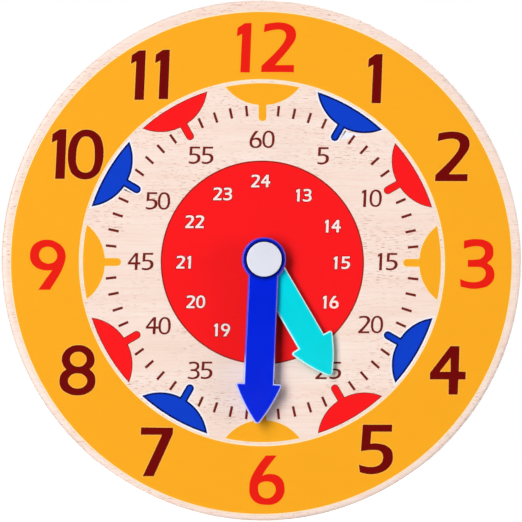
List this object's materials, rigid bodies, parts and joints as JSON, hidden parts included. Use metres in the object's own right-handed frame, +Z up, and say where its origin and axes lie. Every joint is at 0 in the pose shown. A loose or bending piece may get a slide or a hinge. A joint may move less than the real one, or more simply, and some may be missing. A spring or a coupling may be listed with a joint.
{
  "type": "geared teaching clock",
  "caption": "Round wooden teaching clock with broad arrow hands linked by a gear train in a moulded case behind the dial, with a keyhole hanger and rubber feet.",
  "frame": {"origin": "on the hands' axis, in the plane of the wall that the clock hangs against", "axes": "dial faces -Y, +Y points to the wall, +X is to the right of the dial, +Z is up"},
  "size_m": [0.3, 0.035, 0.3],
  "materials": {
    "beech": "sanded beech, thin clear lacquer",
    "case_moulding": "fine spark-eroded moulding",
    "clear_cover": "clear polished moulding",
    "zinc_screw": "bright zinc plate",
    "turned_brass": "turned, unlacquered",
    "plain_steel": "turned, oiled",
    "spring_steel": "stamped and oil blackened",
    "acetal": "natural acetal moulding",
    "hour_moulding": "glossy teal moulding",
    "minute_moulding": "glossy blue moulding",
    "white_moulding": "glossy white moulding",
    "zinc_plate": "pressed sheet, zinc plated",
    "black_rubber": "moulded rubber"
  },
  "bodies": {
    "clock": {"dial_board": "beech", "gear_case": "case_moulding", "rear_cover": "clear_cover", "cover_screws": "zinc_screw", "case_screws": "zinc_screw", "centre_bush": "turned_brass", "bush_nut": "turned_brass", "bush_washer": "plain_steel", "wheel_post": "plain_steel", "post_clip": "spring_steel", "post_washer": "plain_steel", "hanger_plate": "zinc_plate", "hanger_screws": "zinc_screw", "rubber_feet": "black_rubber", "foot_screws": "zinc_screw"},
    "minute_train": {"minute_arbor": "plain_steel", "cannon_pinion": "minute_moulding", "friction_spring": "spring_steel", "minute_hand": "minute_moulding", "hand_nut": "turned_brass", "hub_cap": "white_moulding"},
    "intermediate_train": {"intermediate_wheel": "acetal", "intermediate_pinion": "acetal"},
    "hour_train": {"hour_wheel": "hour_moulding", "hour_pipe": "turned_brass", "thrust_washer": "acetal", "hour_hand": "hour_moulding"}
  },
  "joints": [
    {"name": "minute_turn", "type": "hinge", "parent": "clock", "child": "minute_train", "pos_m": [0, 0, 0], "axis": [0, 1, 0], "continuous": true},
    {"name": "intermediate_turn", "type": "hinge", "parent": "clock", "child": "intermediate_train", "pos_m": [0, 0, -0.0375], "axis": [0, 1, 0], "continuous": true},
    {"name": "hour_turn", "type": "hinge", "parent": "clock", "child": "hour_train", "pos_m": [0, 0, 0], "axis": [0, 1, 0], "continuous": true}
  ],
  "couplings": [
    {"joint": "intermediate_turn", "follows": "minute_turn", "ratio": -0.33333},
    {"joint": "hour_turn", "follows": "minute_turn", "ratio": 0.083333}
  ]
}
